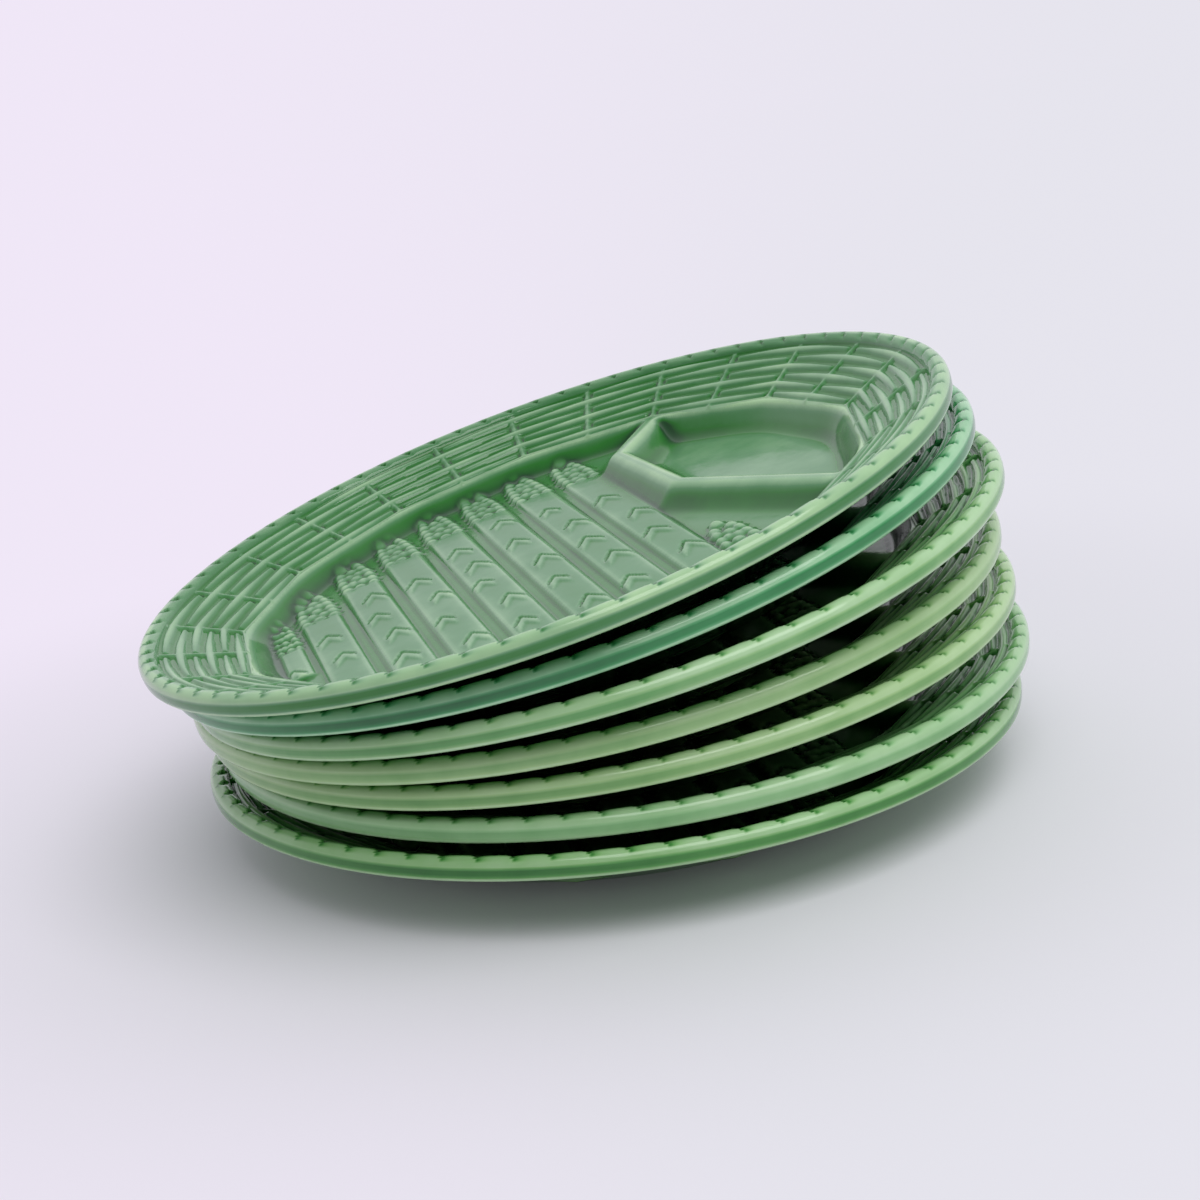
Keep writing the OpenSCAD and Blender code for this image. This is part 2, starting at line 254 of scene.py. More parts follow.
# Points of a plate's half section: round its edge in degrees, within a row in shares, and round the edge's lower
# corner, inwards from the rim and up from the edge's foot, in millimetres
EDGE_TURNS = (0, 18, 32, 42, *range(50, 163, 8))
ROW_SHARES = (0, 0.1, 0.2, 0.32, 0.44, 0.56, 0.68, 0.8, 0.9)
EDGE_CORNER = ((1.7, 0), (1, 0.15), (0.5, 0.5), (0.2, 1), (0.08, 1.5), (0.02, 2.2))

FACE_FADE = 1 * MM  # height over which the gathered glaze and painted shade come in on the edge's lower face
UNGLAZED = 0.3 * MM  # height to which the foot is left unglazed
SLICES = 12  # equal slices in which a plate's body is spun


def weave(f, angle, row):
    """Height of the weave above the bare rim, and how much glaze pools there, at a row coordinate from 0 to rows."""
    index = np.clip(np.floor(row), 0, f.rows - 1)
    across = row - index - 0.5
    stake = (angle - f.first_corner) / (TURN / f.stakes)
    shown = np.abs((stake - (index + 1) % 2 + 1) % 2 - 1)
    span = np.sin(np.clip(shown, 0, 1) * math.pi / 2)
    spacing = TURN / f.stakes * (f.edge_in - row * f.row_pitch)
    blunt = smooth_step((shown * spacing - 0.75 * f.stake_width) / BAR_END)
    half = (0.17 + 0.20 * span) * (0.55 + 0.45 * blunt)
    bar = np.sqrt(np.clip(1 - (across / half) ** 2, 0, 1)) * (0.6 + 0.4 * span) * blunt
    side = np.abs(stake - np.round(stake)) * spacing / (f.stake_width / 2)
    rib = np.sqrt(np.clip(1 - side**2, 0, 1)) * 0.8
    bare = 1 - np.maximum(bar, rib)
    height = np.maximum(bar * f.row_height, rib * f.stake_height * 0.85)
    pit = np.exp(-((side - 1.9) ** 2) / 1.2) * smooth_step((0.30 - np.abs(across)) / 0.08) * (1 - blunt)
    groove = bare * GROOVE + pit * PIT
    pool = 0.27 + 0.42 * bare**1.3 + 0.4 * pit - 0.15 * np.maximum(bar**3, rib**3)
    lip = np.exp(-(((f.rows - row) / 0.10) ** 2))
    return (height - groove) * (1 - lip) + LIP * lip, pool * (1 - lip) + 0.12 * lip


def rope(f, angle, turn):
    """Depth of the slanted cuts at a turn about the roped edge, in degrees, and how much glaze and painted shade fill
    them.
    """
    inwards = f.bead_r * (1 - np.cos(np.radians(turn)))
    ahead = inwards * math.tan(f.notch_slant) / f.rim_r
    phase = (angle + ahead) * f.notches / TURN % 1
    cut = np.exp(-phase * 7) * 0.8 + (1 - phase) ** 2 * 0.2
    # The dark in a cut is gathered glaze and painted shade at the foot of its step
    fill_and_shade = np.exp(-phase * 9) * smooth_step((1 - phase) / 0.06)
    return f.notch_depth * cut * between(turn, *CUT_TURNS), fill_and_shade * between(turn, *FILL_AND_SHADE_TURNS)


def waver(angle):
    """Slow change of the glaze round a plate's edge, about 0.5."""
    return 0.5 + 0.25 * np.sin(angle * 3 + 1) + 0.2 * np.sin(angle * 7 + 2)


def body_section(f):
    """Half section of a plate from the middle of its underside round the edge to the floor under the bed.

    Each point has its radius, its height, its row coordinate and its turn about the roped edge, or -1."""
    foot_r, soft, wall_r = f.foot_r, f.foot_soft, f.well_foot_r * f.flat_share
    foot_in = foot_r - f.foot_width
    under = [(0, f.under), (foot_in - soft, f.under), (foot_in, f.under - soft / 2), (foot_in + soft / 2, soft),
             (foot_in + soft, 0), (foot_r - soft, 0), (foot_r - soft / 2, soft), (foot_r, f.under - soft / 2),
             (foot_r + soft, f.under), (wall_r - soft, f.under), (wall_r + soft, f.under + soft / 2),
             (f.well_r, f.well_rim - f.wall), (f.edge_in - soft, f.edge_foot - soft / 2),
             (f.edge_in + soft, f.edge_foot)]
    under += [(f.rim_r - inwards * MM, f.edge_foot + up * MM) for inwards, up in EDGE_CORNER]
    section = [(r, z, -1, -1) for r, z in under]
    section += [(f.rim_r, f.height, -1, turn) for turn in EDGE_TURNS]
    section += [(f.edge_in, f.first_row, i + share, -1) for i in range(f.rows) for share in ROW_SHARES]
    section += [(f.edge_in, f.first_row, f.rows + share, -1) for share in (0, 0.25, 1)]
    section.append((0, f.floor - f.sauce_drop - CAP_DROP, -1, -1))
    return section


def spin_section(section, steps):
    """A closed round mesh whose rings carry the points of a half section.

    It is spun as a ball, slice by slice, and each ring's radius, height, row and turn go with it."""
    bm = bmesh.new()
    layers = [bm.verts.layers.float.new(name) for name in ("radius", "height", "row", "edge_turn")]
    verts = []
    for i, point in enumerate(section):
        slope = math.pi * i / (len(section) - 1)
        v = bm.verts.new((math.sin(slope), 0, -math.cos(slope)))
        for layer, value in zip(layers, point):
            v[layer] = value
        verts.append(v)
    edges = [bm.edges.new(pair) for pair in zip(verts, verts[1:])]
    bmesh.ops.spin(bm, geom=verts + edges, cent=(0, 0, 0), axis=(0, 0, 1), angle=TURN / SLICES,
                   steps=steps // SLICES)
    part = bm.verts[:] + bm.edges[:] + bm.faces[:]
    for i in range(1, SLICES):
        copy = bmesh.ops.duplicate(bm, geom=part)["geom"]
        bmesh.ops.rotate(bm, cent=(0, 0, 0), matrix=Matrix.Rotation(TURN * i / SLICES, 3, "Z"),
                         verts=[g for g in copy if isinstance(g, bmesh.types.BMVert)])
    bmesh.ops.remove_doubles(bm, verts=bm.verts[:], dist=1e-5)
    bmesh.ops.recalc_face_normals(bm, faces=bm.faces[:])
    return bm


def read(mesh, name, size=1):
    """The values of an attribute at each vertex, or its coordinates under the name co."""
    values = np.zeros(len(mesh.vertices) * size, np.float32)
    if name == "co":
        mesh.vertices.foreach_get("co", values)
    else:
        mesh.attributes[name].data.foreach_get("value", values)
    return values.astype(float).reshape(-1, size) if size > 1 else values.astype(float)


def keep(mesh, name, values):
    """Keeps a value at each vertex, for the glaze to read."""
    layer = mesh.attributes.get(name) or mesh.attributes.new(name, "FLOAT", "POINT")
    layer.data.foreach_set("value", np.asarray(values, np.float32))


def shape_body(mesh, f, face_pool_and_shade):
    """Moves the spun mesh to the woven rim, the straight-sided well and the roped edge."""
    co = read(mesh, "co", 3)
    radius, z, row, turn = (read(mesh, name) for name in ("radius", "height", "row", "edge_turn"))
    angle = np.arctan2(co[:, 1], co[:, 0])
    pool = np.full(len(co), 0.55)
    bare = np.where(z < UNGLAZED, 1.0, 0.0)

    on_rim = row >= 0
    a, w = angle[on_rim], row[on_rim]
    inner = well_edge(f, a)
    shown = np.minimum(w, f.rows)
    relief, rim_pool = weave(f, a, shown)
    lift = smooth_step(shown / 0.15)
    down = np.maximum(w - f.rows, 0)
    radius[on_rim] = f.edge_in - (f.edge_in - inner) * shown / f.rows - down * inner * 0.05
    z[on_rim] = f.first_row - (f.first_row - f.well_rim) * shown / f.rows + relief * lift
    z[on_rim] -= down * (f.well_depth + f.sauce_drop + CAP_DROP)
    pool[on_rim] = rim_pool

    on_edge = turn >= 0
    a, t = angle[on_edge], turn[on_edge]
    cut, fill_and_shade = rope(f, a, t)
    c, s = np.cos(np.radians(t)), np.sin(np.radians(t))
    fullness = np.where(t < 90, 0.93, 1)
    out = np.sign(c) * np.abs(c) ** fullness
    up = np.abs(s) ** fullness
    radius[on_edge] = f.rim_r - f.bead_r + (f.bead_r - cut) * out
    z[on_edge] = f.height - f.bead_r + (f.bead_r - cut) * up
    slow = waver(a) + 0.1 * np.sin(a * 17)
    # The edge's lower face is darker: glaze gathers there, and painted shade darkens it further
    face_glaze_and_shade = (1 - smooth_step((t + 2) / 20)) * face_pool_and_shade * (0.75 + 0.5 * slow)
    top = 0.26 * smooth_step((t - 84) / 26) + 0.08 * smooth_step((t - 125) / 30)
    pool[on_edge] = 0.02 + face_glaze_and_shade + top + 0.95 * fill_and_shade + 0.06 * slow

    # Round the edge's lower corner the same gathered glaze and painted shade fade in towards its face
    lower = (row < 0) & (turn < 0) & (z > f.edge_foot - FACE_FADE / 2) & (radius > f.rim_r - 1.5 * FACE_FADE)
    gathers_and_shades = smooth_step((z[lower] - f.edge_foot) / FACE_FADE - 0.9)
    pool[lower] = gathers_and_shades * face_pool_and_shade * (0.8 + 0.5 * waver(angle[lower]))
    co[:, 0], co[:, 1], co[:, 2] = radius * np.cos(angle), radius * np.sin(angle), z
    mesh.vertices.foreach_set("co", co.astype(np.float32).ravel())
    # The pool holds the gathered glaze and, on the roped edge, painted shade as well
    keep(mesh, "pool", np.clip(pool, 0, 1.2))
    keep(mesh, "bare", bare)
    mesh.update()


# ---- bed of the well ----

CORNER_EASE = 36  # the higher, the sharper are the corners of the wall on the bed
FIRST_ROW = 1.57  # offset of the first spear from the middle of the plate, in pitches
TIP_RISE = (5, 7, 7, 7, 7, 7, 5)  # how far each spear's tip runs up the wall, in millimetres
SHOULDER = 1.5 * MM  # roundness of a spear's sides
CUT_END = 1.6 * MM  # length over which a spear's cut end rises
SIDE_RISE = 2 * MM  # how far the narrow spear along the wall runs up it

BUDS = (3, 4, 3, 4, 3, 2, 1)  # buds in each row of a head, from its foot to its tip
BUD_JITTER = 0.7, 0.4  # how far a bud strays along and across its head, in millimetres

# Leaf scales, each from least to most in millimetres: place of the first, from one to the next, half width, and
# distance from the stalk's middle
FIRST_LEAF = 4, 9
LEAF_PITCH = 19, 27
LEAF_SIZE = 3.2, 4.4
LEAF_ASIDE = 0.6, 2.2

LAST_LEAF = 4 * MM  # leaf scales end this far below the head
LEAF_TAIL = 7 * MM  # length in which a scale lifts from its stalk
LEAF_FADE = 3 * MM  # length over which it starts to lift
LEAF_STEP = 0.6 * MM  # length over which its front drops
LEAF_CUT = 0.75 * MM  # half width of the cut round its front

# Fillets where the wall meets the bed, the ridge meets the bed, and the wall meets the sauce well
WALL_FILLET = 2.4 * MM
RIDGE_FILLET = 1.4 * MM
SAUCE_FILLET = 3 * MM
WALL_SINK = 0.1 * MM

# Glaze gathers in fine and in wide hollows, each with a reach and a depth, and on the middle of the wall, from low
# to high above the floor and up to a little below the rim
FINE_REACH, FINE_DEPTH = 0.9 * MM, 0.3 * MM
WIDE_REACH, WIDE_DEPTH = 3.2 * MM, 1.2 * MM
WALL_LOW, WALL_HIGH, WALL_TOP = 1.1 * MM, 4.1 * MM, 2.5 * MM

MARGIN = 1 * MM  # how far the bed's grid reaches past the well before it is cut


def stretch_distance(x, y, a, b):
    """Distance from points to the stretch from a to b, and on which side of it they lie."""
    run = b - a
    t = np.clip(((x - a.x) * run.x + (y - a.y) * run.y) / run.length_squared, 0, 1)
    side = run.x * (y - a.y) - run.y * (x - a.x)
    return np.hypot(x - a.x - t * run.x, y - a.y - t * run.y), side


def ridge_distance(f, x, y):
    """Distance to the dividing ridge, positive on the side of the sauce well."""
    found = [stretch_distance(x, y, a, b) for a, b in zip(f.ridge, f.ridge[1:])]
    distance = np.minimum.reduce([d for d, _ in found])
    inside = np.logical_and.reduce([side > 0 for _, side in found])
    return np.where(inside, distance, -distance)


def round_apothem(f, x, y):
    """Distance from the axis towards the nearest side of the well, eased round its corners."""
    turns = f.first_corner + (np.arange(f.sides) + 0.5) * f.side_turn
    near = (np.clip(x * math.cos(t) + y * math.sin(t), 0, None) / f.well_r for t in turns)
    return f.well_r * sum(share**CORNER_EASE for share in near) ** (1 / CORNER_EASE)


def spear_rows(f):
    """Offset, tip, cut end and width of each spear, seen along its own length.

    Beside the whole spears there are the head of one that the ridge cuts short, and a narrow one along the wall."""
    def offset(k):
        return (FIRST_ROW - k) * f.spear_pitch

    def reach(s):
        return math.sqrt(max((f.well_r - f.bed_run) ** 2 - s * s, 0))

    w = f.spear_width
    rows = []
    for k in range(f.spears):
        s = offset(k)
        rows.append((s, reach(s) + TIP_RISE[k % len(TIP_RISE)] * MM - w / 5, w / 3 - reach(s), w))
    low = w / 3 - reach(offset(-1))
    rows.append((offset(-1) - w / 4, low + f.head * 1.05, low - w / 2, w * 0.95))
    edge = offset(f.spears - 0.5)
    side_w = f.well_foot_r * f.flat_share + edge
    rows.append((edge - side_w * 0.62, reach(edge - side_w / 2) + SIDE_RISE, -f.well_foot_r / 4, side_w * 1.3))
    return rows


def bud_bumps(f, along, across, width, seed):
    """Height of the overlapping buds of a head, along it from 0 at its foot to 1 at its tip."""
    height = np.zeros_like(along)
    rng = np.random.default_rng(seed)
    stray_along, stray_across = BUD_JITTER
    for i, count in enumerate(BUDS):
        t = 0.02 + 0.15 * i
        half = width / 2 * (1 - t**2.6) ** 0.5 * 0.66
        for j in range(count):
            y0 = (j - (count - 1) / 2) * 2 * half / max(count - 1, 1)
            y0 += rng.uniform(-stray_across, stray_across) * MM
            x0 = t * f.head + rng.uniform(-stray_along, stray_along) * MM
            size = width * (0.175 + rng.uniform(-0.015, 0.02))
            ahead = (along * f.head - x0) / (size * 1.25)
            d = np.hypot(ahead, (across - y0) / size)
            height = np.maximum(height, np.sqrt(np.clip(1 - d * d, 0, 1)) * (0.88 + 0.2 * np.clip(ahead, -1, 1)))
    return height


def leaf_scales(f, along, across, seed, reach):
    """Lift of the leaf scales along a stalk, which point to its tip, and the cut round their front."""
    lift, cut = np.zeros_like(along), np.zeros_like(along)
    rng = np.random.default_rng(100 + seed)
    x0 = rng.uniform(*FIRST_LEAF) * MM
    side = 1 if seed % 2 else -1
    while x0 < reach:
        y0 = side * rng.uniform(*LEAF_ASIDE) * MM
        size = rng.uniform(*LEAF_SIZE) * MM
        arm = np.abs(across - y0)
        front = (along - x0) + arm * rng.uniform(1.5, 2.1)
        fade = smooth_step((size - arm) / (0.3 * size))
        near = smooth_step((front + LEAF_TAIL) / LEAF_FADE)
        cut = np.maximum(cut, fade * np.exp(-(((front - LEAF_STEP) / LEAF_CUT) ** 2)))
        lift = np.maximum(lift, fade * near * smooth_step(-front / LEAF_STEP))
        x0 += rng.uniform(*LEAF_PITCH) * MM
        side = -side
    return lift, cut


def spear_heights(f, x, y):
    """Height of the spears above the floor of the well."""
    found = np.zeros_like(x)
    ux, uy = -math.sin(f.spear_slant), math.cos(f.spear_slant)
    along, across = x * ux + y * uy, x * uy - y * ux
    for i, (s, tip, end, width) in enumerate(spear_rows(f)):
        local = across - s
        t = (along - (tip - f.head)) / f.head
        half = np.where(t < 0, width / 2, width / 2 * np.sqrt(np.clip(1 - np.clip(t, 0, 1) ** 2.6, 0, 1)))
        inside = np.clip(1 - np.abs(local) / np.maximum(half, 1e-6), 0, 1)
        back = smooth_step(np.minimum(inside * width / 2 / SHOULDER, 1))
        crown = np.sqrt(np.clip(1 - (local / (width * 0.95)) ** 2, 0, 1))
        height = f.spear_height * back * crown * smooth_step((along - end) / CUT_END + 0.5)
        buds = bud_bumps(f, t, local, width, i)
        on_head = smooth_step((t + 0.04) / 0.08)
        lift, cut = leaf_scales(f, along - end, local, i, tip - f.head - end - LAST_LEAF)
        stalk = height * (0.80 + 0.2 * lift - 0.5 * cut)
        head = height * 0.35 + f.spear_height * buds * 0.75 * smooth_step((t + 0.1) / 0.1)
        found = np.maximum(found, stalk * (1 - on_head) + head * on_head)
    return found


def bed_heights(f, x, y):
    """Height of the bed at points of the plate's frame."""
    apothem = round_apothem(f, x, y)
    low, high = (f.well_r - f.bed_run) * f.flat_share, f.well_r * f.flat_share
    wall = f.floor + (apothem - low) / (high - low) * f.well_depth - WALL_SINK
    bed = soft_max(f.floor + spear_heights(f, x, y), wall, WALL_FILLET)

    side = ridge_distance(f, x, y)
    flank = (f.ridge_foot - f.ridge_crest) / 2
    beyond = np.clip(np.abs(side) - f.ridge_crest / 4, 0, None)
    outer = np.exp(-((beyond / (flank * 0.86)) ** 2)) * f.well_depth
    bed = soft_max(bed, f.floor + outer, RIDGE_FILLET)
    inner = np.exp(-((beyond / (flank * 0.75)) ** 2)) * (f.well_depth + f.sauce_drop)
    sauce_wall = wall - np.clip((high - apothem) / (high - low), 0, 1.4) * f.sauce_drop
    sauce = soft_max(f.floor - f.sauce_drop + inner, sauce_wall, SAUCE_FILLET)
    return np.minimum(np.where(side < 0, bed, sauce), f.well_rim - RIM_PLAY)


def box_blur(a, n):
    """A square of 2 n + 1 cells averaged, twice, which is close to a round blur."""
    for _ in range(2):
        for axis in (0, 1):
            pad = [(0, 0), (0, 0)]
            pad[axis] = (n + 1, n)
            s = np.cumsum(np.pad(a, pad, mode="edge"), axis=axis)
            m = 2 * n + 1
            a = (np.take(s, range(m, s.shape[axis]), axis) - np.take(s, range(s.shape[axis] - m), axis)) / m
    return a


def bed_grid(f, step):
    """Pooled glaze of the bed on a square grid, to be read at any point."""
    half = f.well_r + 2 * MARGIN
    n = int(2 * half / step) + 1
    line = np.linspace(-half, half, n)
    x, y = np.meshgrid(line, line)
    z = bed_heights(f, x, y)
    fine = box_blur(z, max(1, round(FINE_REACH / step))) - z
    wide = box_blur(z, round(WIDE_REACH / step)) - z
    on_wall = between(z, (f.floor + WALL_LOW, f.floor + WALL_HIGH), (f.well_rim - WALL_TOP, f.well_rim))
    pool = 0.44 + np.clip(fine / FINE_DEPTH * 0.5, -0.14, 0.5) + np.clip(wide / WIDE_DEPTH * 0.45, -0.22, 0.4)
    pool += 0.25 * on_wall - 0.1 * (ridge_distance(f, x, y) > 0)
    return SimpleNamespace(half=half, n=n, pool=pool)


def sample(grid, values, x, y):
    """A grid's values at any points, in straight lines between its own."""
    fx = np.clip((x + grid.half) / (2 * grid.half) * (grid.n - 1), 0, grid.n - 1.001)
    fy = np.clip((y + grid.half) / (2 * grid.half) * (grid.n - 1), 0, grid.n - 1.001)
    ix, iy = fx.astype(int), fy.astype(int)
    tx, ty = fx - ix, fy - iy
    top = values[iy, ix] * (1 - tx) + values[iy, ix + 1] * tx
    return top * (1 - ty) + (values[iy + 1, ix] * (1 - tx) + values[iy + 1, ix + 1] * tx) * ty


def bed_mesh(f, step):
    """A flat slab with the well's straight-sided outline and a grid on top that runs along the spears."""
    half = f.well_r + MARGIN
    count = int(2 * half / step)
    bm = bmesh.new()
    deep = bm.verts.layers.float.new("deep")
    bmesh.ops.create_grid(bm, x_segments=count, y_segments=count, size=half,
                          matrix=Matrix.Rotation(f.spear_slant, 4, "Z"))
    reach = f.well_r * f.flat_share - BED_PLAY
    for i in range(f.sides):
        turn = f.first_corner + (i + 0.5) * f.side_turn
        out = Vector((math.cos(turn), math.sin(turn), 0))
        bmesh.ops.bisect_plane(bm, geom=bm.verts[:] + bm.edges[:] + bm.faces[:], plane_co=out * reach, plane_no=out,
                               clear_outer=True, dist=1e-6)
    rim = [e for e in bm.edges if e.is_boundary]
    skirt = bmesh.ops.extrude_edge_only(bm, edges=rim)["geom"]
    low = [g for g in skirt if isinstance(g, bmesh.types.BMVert)]
    for v in low:
        v[deep] = 1
    bmesh.ops.holes_fill(bm, edges=[e for e in bm.edges if e.is_boundary], sides=0)
    bmesh.ops.recalc_face_normals(bm, faces=bm.faces[:])
    return bm


def shape_bed(mesh, f, step):
    """Moves the slab's top to the moulded bed and its bottom below the body's floor."""
    co = read(mesh, "co", 3)
    deep = read(mesh, "deep") > 0.5
    grid = bed_grid(f, step)
    x, y = co[:, 0], co[:, 1]
    co[:, 2] = np.where(deep, f.floor - f.sauce_drop - 2 * CAP_DROP, bed_heights(f, x, y))
    co[deep, 0] *= 0.93
    co[deep, 1] *= 0.93
    mesh.vertices.foreach_set("co", co.astype(np.float32).ravel())
    keep(mesh, "pool", np.clip(sample(grid, grid.pool, x, y), 0, 1.2))
    keep(mesh, "bare", np.zeros(len(co)))
    mesh.update()


# ---- laying the plates ----

BOX_SLACK = 0.4 * MM  # how far a plate may pass its solid's box


def stack_foot():
    """Middle of the bottom plate's foot."""
    low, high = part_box("bottom_plate")
    return Vector(((low.x + high.x) / 2, (low.y + high.y) / 2, 0))


def rest_height(f, name, below, laid):
    """How far a plate has to be lifted along the axis of the one below, to lie as low as its solid does.

    Its lowest place is the foot ring, or under a steep lean the corner where the wall of the well starts."""
    upright = laid.col[2].z
    steep = math.sqrt(1 - upright**2)
    reach = max((f.foot_r - f.foot_soft) * steep, f.well_foot_r * f.flat_share * steep - f.under * upright)
    return (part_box(name)[0].z - laid.translation.z + reach) / below.col[2].z


def plate_places(f):
    """Where each plate lies: a matrix from its own frame to the stack's."""
    place = Matrix.Translation(stack_foot())
    places = [place]
    for name, lean, side, slide in zip(PLATES[1:], LEAN, RAISED_SIDE, SLIDE_SHARES):
        turn = math.radians(side)
        tilt = Matrix.Rotation(math.radians(lean), 4, Vector((math.sin(turn), -math.cos(turn), 0)))
        shift = Vector((slide[0], slide[1], 0)) * f.across
        shift.z = rest_height(f, name, place, place @ Matrix.Translation(shift) @ tilt)
        place = place @ Matrix.Translation(shift) @ tilt
        places.append(place)
    return places


def finish_piece(mesh, name, place, body, material):
    """Keeps the plate's own coordinates for its glaze, lays the mesh in the stack and lets it ride."""
    co = read(mesh, "co", 3)
    own = mesh.attributes.new("own_place", "FLOAT_VECTOR", "POINT")
    own.data.foreach_set("vector", co.astype(np.float32).ravel())
    mesh.transform(place)
    mesh.materials.append(material)
    for polygon in mesh.polygons:
        polygon.use_smooth = True
    piece = bpy.data.objects.new(name, mesh)
    bpy.context.scene.collection.objects.link(piece)
    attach(piece, body)
    return piece


def check_place(name, mesh):
    """A plate that isn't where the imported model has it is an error."""
    co = read(mesh, "co", 3)
    low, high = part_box(name)
    for axis in range(3):
        if co[:, axis].min() < low[axis] - BOX_SLACK or co[:, axis].max() > high[axis] + BOX_SLACK:
            raise RuntimeError(f"{name} lies outside its solid: {co.min(0)} {co.max(0)} {low} {high}")


# ---- glaze, paper and surroundings ----

GLAZE_STOPS = (0, 0.16, 0.38, 0.68, 1)  # amounts of glaze at which its five colours stand
BARE_POTTERY = (0.62, 0.55, 0.42, 1)


def add(tree, kind, **inputs):
    """A new node with its inputs set, their names written with underscores for spaces."""
    made = tree.nodes.new(kind)
    for key, value in inputs.items():
        made.inputs[key.replace("_", " ")].default_value = value
    return made


def attribute(tree, name):
    made = add(tree, "ShaderNodeAttribute")
    made.name = made.attribute_name = name
    return made


def maths(tree, operation, *values):
    """A node that works on one to three values, each a number or another node's output."""
    made = add(tree, "ShaderNodeMath")
    made.operation = operation
    for socket, value in zip(made.inputs, values):
        if isinstance(value, bpy.types.NodeSocket):
            tree.links.new(value, socket)
        else:
            socket.default_value = value
    return made.outputs["Value"]


def fade(tree, value, low, high, start=0, end=1, soft=True):
    """A value taken from the range low to high to the range start to end."""
    made = add(tree, "ShaderNodeMapRange", From_Min=low, From_Max=high, To_Min=start, To_Max=end)
    made.interpolation_type = "SMOOTHSTEP" if soft else "LINEAR"
    tree.links.new(value, made.inputs["Value"])
    return made.outputs["Result"]


def mix_colours(tree, amount, first, second):
    """Two colours mixed, each a colour or another node's output."""
    made = add(tree, "ShaderNodeMix")
    made.data_type = "RGBA"
    tree.links.new(amount, made.inputs["Factor"])
    for key, value in (("A", first), ("B", second)):
        if isinstance(value, bpy.types.NodeSocket):
            tree.links.new(value, made.inputs[key])
        else:
            made.inputs[key].default_value = value
    return made.outputs["Result"]


def mix_shaders(tree, amount, first, second, output):
    made = add(tree, "ShaderNodeMixShader")
    for socket, value in zip(made.inputs, (amount, first, second)):
        tree.links.new(value, socket)
    tree.links.new(made.outputs["Shader"], tree.nodes[output].inputs["Surface"])


def glaze(name, tones):
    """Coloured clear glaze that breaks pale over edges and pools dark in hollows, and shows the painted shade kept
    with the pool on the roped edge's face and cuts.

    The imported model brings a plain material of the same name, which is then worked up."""
    material = bpy.data.materials.get(name) or bpy.data.materials.new(name)
    material.use_nodes = True
    tree = material.node_tree
    if "pool" in tree.nodes:
        return material
    shader = tree.nodes["Principled BSDF"]
    shader.inputs["Roughness"].default_value = 0.11
    shader.inputs["IOR"].default_value = 1.5
    own = attribute(tree, "own_place").outputs["Vector"]

    clouds = add(tree, "ShaderNodeTexNoise", Scale=38, Detail=4, Roughness=0.55)
    tree.links.new(own, clouds.inputs["Vector"])
    drift = fade(tree, clouds.outputs["Fac"], 0.3, 0.7, -0.09, 0.09, soft=False)
    amount = maths(tree, "ADD", attribute(tree, "pool").outputs["Fac"], drift)

    ramp = add(tree, "ShaderNodeValToRGB")
    stops = ramp.color_ramp.elements
    for place in GLAZE_STOPS[1:-1]:
        stops.new(place)
    for stop, tone in zip(stops, tones):
        stop.color = (*tone, 1)
    tree.links.new(amount, ramp.inputs["Fac"])
    bare = attribute(tree, "bare").outputs["Fac"]
    colour = mix_colours(tree, bare, ramp.outputs["Color"], BARE_POTTERY)
    tree.links.new(colour, shader.inputs["Base Color"])

    skin = add(tree, "ShaderNodeTexNoise", Scale=420, Detail=2)
    waves = add(tree, "ShaderNodeTexNoise", Scale=70, Detail=2)
    for texture in (skin, waves):
        tree.links.new(own, texture.inputs["Vector"])
    height = maths(tree, "MULTIPLY_ADD", skin.outputs["Fac"], 0.25, waves.outputs["Fac"])
    bump = add(tree, "ShaderNodeBump", Strength=0.18, Distance=0.5 * MM)
    tree.links.new(height, bump.inputs["Height"])
    tree.links.new(bump.outputs["Normal"], shader.inputs["Normal"])
    return material


def side_tint(tree, parts, left, right):
    """Colour that drifts from the left to the right of a direction's parts."""
    return mix_colours(tree, fade(tree, parts.outputs["X"], -0.3, 0.3), (*left, 1), (*right, 1))


def paper(name, tint, left, right):
    """Matt paper that takes the shadow near the plates, lightened there by a painted glow, and fades to an even,
    glowing backdrop farther off.
    """
    material = bpy.data.materials.new(name)
    material.use_nodes = True
    tree = material.node_tree
    shader = tree.nodes["Principled BSDF"]
    shader.inputs["Base Color"].default_value = (*tint, 1)
    shader.inputs["Roughness"].default_value = 0.9
    shader.inputs["Specular IOR Level"].default_value = 0.15
    own = add(tree, "ShaderNodeTexCoord").outputs["Object"]
    far, way = add(tree, "ShaderNodeVectorMath"), add(tree, "ShaderNodeVectorMath")
    far.operation, way.operation = "LENGTH", "NORMALIZE"
    parts = add(tree, "ShaderNodeSeparateXYZ")
    for source, target in ((own, far), (own, way), (way.outputs["Vector"], parts)):
        tree.links.new(source, target.inputs[0])
    glow = add(tree, "ShaderNodeEmission")
    tree.links.new(side_tint(tree, parts, left, right), glow.inputs["Color"])
    # The paper glows more with distance from the plates; near them this painted glow lightens their cast shadow
    mix_shaders(tree, fade(tree, far.outputs["Value"], 0.03, 0.4), shader.outputs["BSDF"], glow.outputs["Emission"],
                "Material Output")
    return material


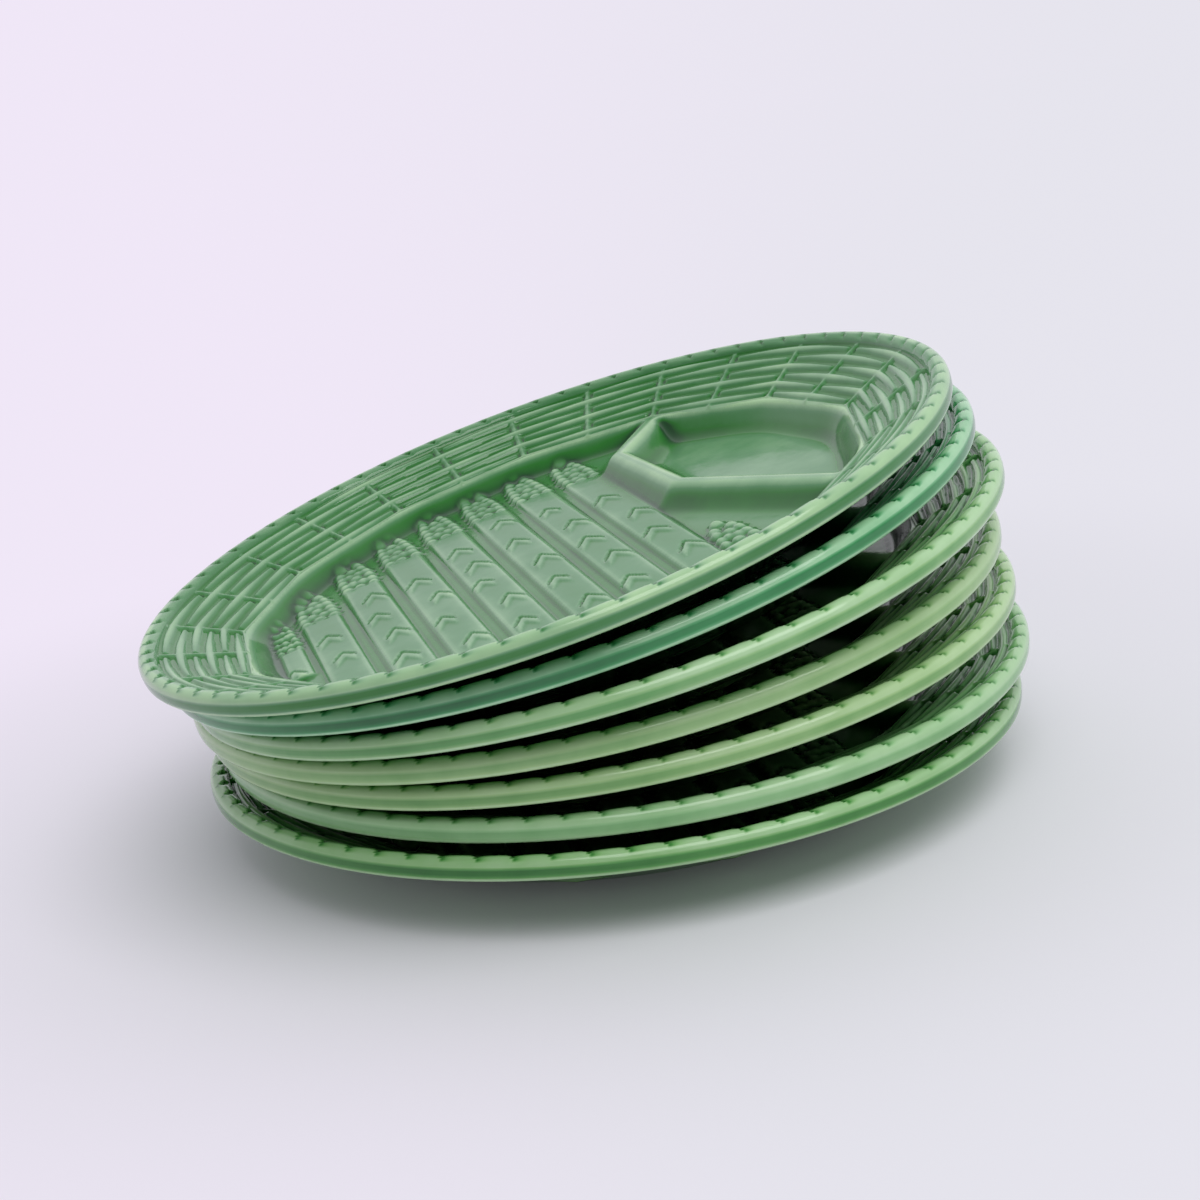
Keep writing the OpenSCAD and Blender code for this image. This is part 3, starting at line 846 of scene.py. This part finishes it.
def surroundings(name, left, right, tint, strength):
    """Even paper behind, seen by the camera, and a bright back and a dim front for everything else."""
    world = bpy.data.worlds.new(name)
    world.use_nodes = True
    tree = world.node_tree
    behind = tree.nodes["Background"]
    parts = add(tree, "ShaderNodeSeparateXYZ")
    tree.links.new(add(tree, "ShaderNodeTexCoord").outputs["Generated"], parts.inputs["Vector"])
    tree.links.new(side_tint(tree, parts, left, right), behind.inputs["Color"])
    room = add(tree, "ShaderNodeBackground", Color=(*tint, 1))
    backwards = fade(tree, parts.outputs["Y"], -0.35, 0.45, 0.12, 1)
    tree.links.new(maths(tree, "MULTIPLY", backwards, strength), room.inputs["Strength"])
    seen = add(tree, "ShaderNodeLightPath").outputs["Is Camera Ray"]
    mix_shaders(tree, seen, room.outputs["Background"], behind.outputs["Background"], "World Output")
    return world


# ---- operators ----


class PLATES_OT_bodies(bpy.types.Operator):
    """Turn the body of each plate: foot, wall, basket rim and roped edge"""

    bl_idname = "plates.bodies"
    bl_label = "Plate bodies"

    def execute(self, context):
        f = form_of(context.scene.plate_sizes)
        bm = spin_section(body_section(f), f.round_steps)
        for name, place in zip(PLATES, plate_places(f)):
            mesh = bpy.data.meshes.new(name + "_body")
            bm.to_mesh(mesh)
            shape_body(mesh, f, FACE_POOL_AND_SHADE[name])
            material = glaze(name + "_glaze", GLAZES[name])
            piece = finish_piece(mesh, name + "_body", place, name, material)
            check_place(name, mesh)
            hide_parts(name)
        bm.free()
        return {"FINISHED"}


class PLATES_OT_beds(bpy.types.Operator):
    """Press the bed of each well: asparagus spears, dividing ridge and sauce well"""

    bl_idname = "plates.beds"
    bl_label = "Beds of the wells"

    def execute(self, context):
        f = form_of(context.scene.plate_sizes)
        for name, place in zip(PLATES, plate_places(f)):
            step = f.bed_step if name == "top_plate" else f.bed_step * f.hidden_step
            bm = bed_mesh(f, step)
            mesh = bpy.data.meshes.new(name + "_bed")
            bm.to_mesh(mesh)
            bm.free()
            shape_bed(mesh, f, step)
            material = glaze(name + "_glaze", GLAZES[name])
            finish_piece(mesh, name + "_bed", place, name, material)
        return {"FINISHED"}


def lay_paper(scene, settings):
    bm = bmesh.new()
    bmesh.ops.create_grid(bm, x_segments=1, y_segments=1, size=settings.paper_half)
    mesh = bpy.data.meshes.new("paper_sweep")
    bm.to_mesh(mesh)
    bm.free()
    mesh.materials.append(paper("seamless_paper", settings.paper, settings.backdrop_left, settings.backdrop_right))
    floor = bpy.data.objects.new("paper_sweep", mesh)
    scene.collection.objects.link(floor)


def hang_lamp(scene, settings):
    light = bpy.data.lights.new("lamp_front", "AREA")
    light.shape, light.size, light.size_y = "RECTANGLE", settings.lamp_width, settings.lamp_depth
    light.energy = settings.lamp
    lamp = bpy.data.objects.new("lamp_front", light)
    lamp.location = settings.lamp_place
    aim = Vector((0, 0, settings.lit_height)) - lamp.location
    lamp.rotation_euler = aim.to_track_quat("-Z", "Y").to_euler()
    scene.collection.objects.link(lamp)


def set_camera(scene, settings, edge_height):
    data = bpy.data.cameras.new("camera")
    data.sensor_width = 36
    data.lens = settings.lens
    data.clip_end = 50
    camera = bpy.data.objects.new("camera", data)
    camera.location = stack_foot() + Vector((0, 0, edge_height)) + Vector(settings.camera_place)
    camera.rotation_euler = settings.camera_turn
    scene.collection.objects.link(camera)
    scene.camera = camera


class PLATES_OT_studio(bpy.types.Operator):
    """Set up the seamless paper, the soft lamp, the surroundings and the camera"""

    bl_idname = "plates.studio"
    bl_label = "Studio"

    def execute(self, context):
        scene, settings = context.scene, context.scene.plate_studio
        lay_paper(scene, settings)
        hang_lamp(scene, settings)
        scene.world = surroundings("surroundings", settings.backdrop_left, settings.backdrop_right,
                                   settings.room_tint, settings.room)
        set_camera(scene, settings, scene.plate_sizes.height)
        scene.view_settings.view_transform = "Standard"
        return {"FINISHED"}


class PLATES_PT_panel(bpy.types.Panel):
    bl_label = "Asparagus plates"
    bl_idname = "PLATES_PT_panel"
    bl_space_type = "VIEW_3D"
    bl_region_type = "UI"
    bl_category = "Plates"

    def draw(self, context):
        for group in (context.scene.plate_sizes, context.scene.plate_studio):
            column = self.layout.column(align=True)
            for key in type(group).__annotations__:
                column.prop(group, key)
        for operator in OPERATORS:
            self.layout.operator(operator.bl_idname)


OPERATORS = (PLATES_OT_bodies, PLATES_OT_beds, PLATES_OT_studio)
CLASSES = (PlateSizes, StudioSettings, *OPERATORS, PLATES_PT_panel)


def register():
    for cls in CLASSES:
        bpy.utils.register_class(cls)
    bpy.types.Scene.plate_sizes = PointerProperty(type=PlateSizes)
    bpy.types.Scene.plate_studio = PointerProperty(type=StudioSettings)


def unregister():
    del bpy.types.Scene.plate_studio
    del bpy.types.Scene.plate_sizes
    for cls in reversed(CLASSES):
        bpy.utils.unregister_class(cls)


def main():
    register()
    bpy.ops.plates.bodies()
    bpy.ops.plates.beds()
    bpy.ops.plates.studio()


if __name__ == "__main__":
    main()
